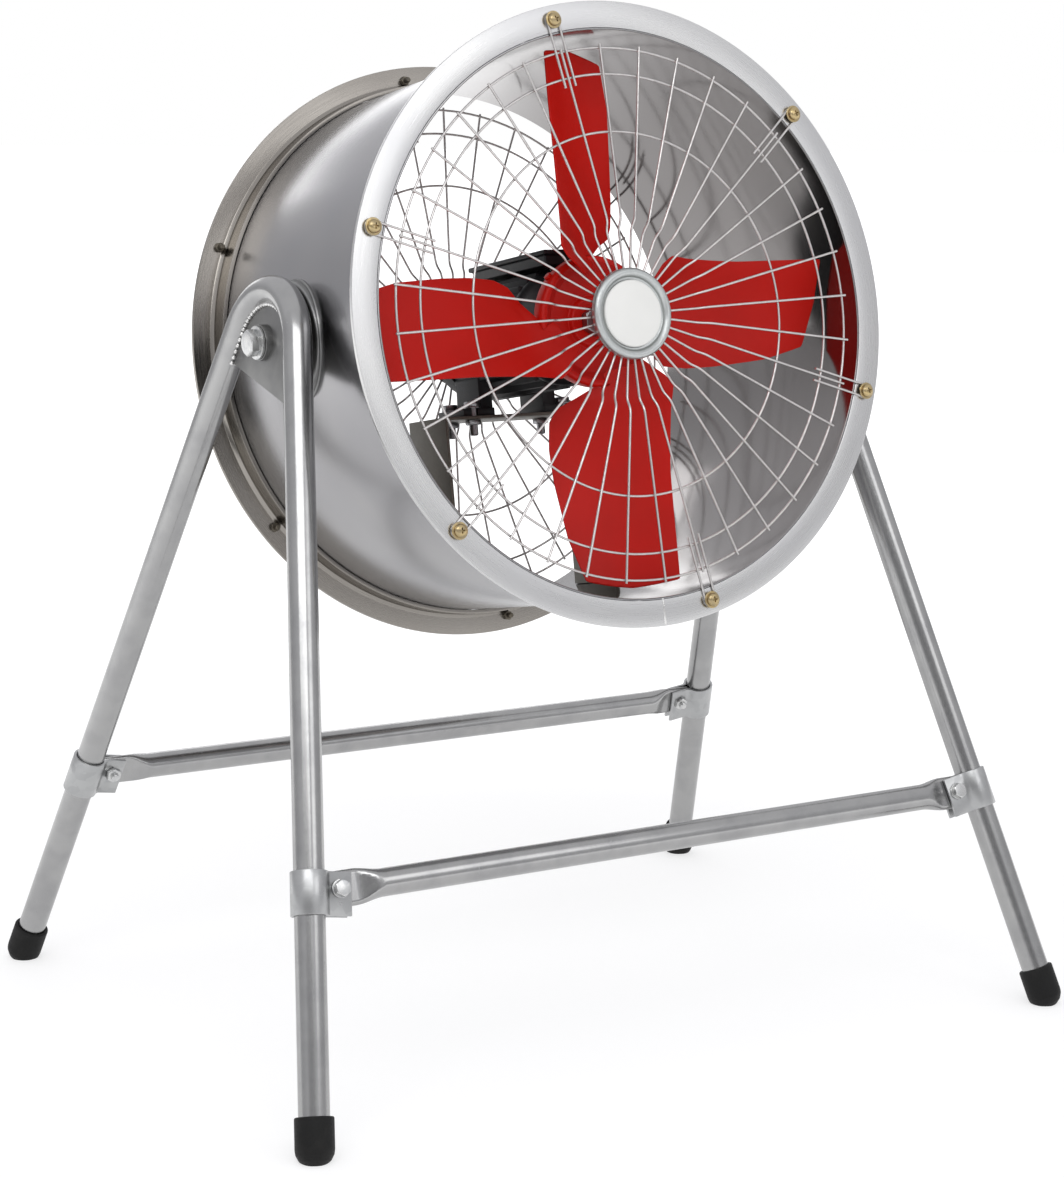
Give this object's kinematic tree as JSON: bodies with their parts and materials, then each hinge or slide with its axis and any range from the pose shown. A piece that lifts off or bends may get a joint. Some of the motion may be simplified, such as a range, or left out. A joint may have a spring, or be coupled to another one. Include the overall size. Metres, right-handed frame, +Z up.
{
  "type": "drum fan",
  "caption": "Drum fan: a guarded steel duct with a red axial rotor, tilting between two tubular A-frames on rubber feet.",
  "frame": {"origin": "on the floor, midway between the four feet", "axes": "+Z up, +X along the tilt axis to the right of someone who stands in front of the outlet and looks at it, +Y from the outlet to the inlet, so the air leaves towards -Y"},
  "size_m": [0.8152, 0.6508, 0.9354],
  "materials": {
    "duct": "satin",
    "flange": "satin",
    "rear_flange": "satin",
    "wire": "satin",
    "badge": "gloss",
    "zinc": "satin",
    "red": "satin",
    "steel": "satin",
    "motor": "satin",
    "bracket": "satin",
    "tube": "satin",
    "galvanised": "satin",
    "rubber": "matte",
    "nylon": "matte"
  },
  "bodies": {
    "stand": {"side_frame_left": "tube", "side_frame_right": "tube", "gusset_left": "tube", "gusset_right": "tube", "crossbar_front": "tube", "crossbar_back": "tube", "clamp_front_left": "galvanised", "clamp_front_right": "galvanised", "clamp_back_left": "galvanised", "clamp_back_right": "galvanised", "clamp_bolt_front_left": "zinc", "clamp_bolt_front_right": "zinc", "clamp_bolt_back_left": "zinc", "clamp_bolt_back_right": "zinc", "foot_front_left": "rubber", "foot_front_right": "rubber", "foot_back_left": "rubber", "foot_back_right": "rubber"},
    "drum": {"drum_shell": "duct", "front_flange": "flange", "rear_flange": "rear_flange", "front_guard": "wire", "rear_guard": "wire", "badge_disc": "badge", "front_screw_1": "zinc", "front_screw_2": "zinc", "front_screw_3": "zinc", "front_screw_4": "zinc", "front_screw_5": "zinc", "front_screw_6": "zinc", "rear_screw_1": "zinc", "rear_screw_2": "zinc", "rear_screw_3": "zinc", "rear_screw_4": "zinc", "rear_screw_5": "zinc", "rear_screw_6": "zinc", "motor_front_shield": "motor", "motor_body": "motor", "motor_fan_cowl": "motor", "terminal_box": "motor", "cable_gland": "nylon", "motor_bracket": "bracket", "motor_bolt_1": "steel", "motor_bolt_2": "steel", "motor_bolt_3": "steel", "motor_bolt_4": "steel", "pivot_pad_left": "galvanised", "pivot_pad_right": "galvanised", "pivot_spacer_left": "nylon", "pivot_spacer_right": "nylon", "pivot_bolt_left": "zinc", "pivot_bolt_right": "zinc"},
    "rotor": {"fan_hub": "red", "blade_1": "red", "blade_2": "red", "blade_3": "red", "blade_4": "red", "hub_nut": "steel", "motor_shaft": "steel"}
  },
  "joints": [
    {"name": "drum_tilt", "type": "hinge", "parent": "stand", "child": "drum", "pos_m": [0, 0, 0.63], "axis": [1, 0, 0], "range_deg": [-79, 101]},
    {"name": "rotor_spin", "type": "hinge", "parent": "drum", "child": "rotor", "pos_m": [0, -0.11583, 0.65251], "axis": [0, -0.9816, 0.1908], "continuous": true}
  ]
}
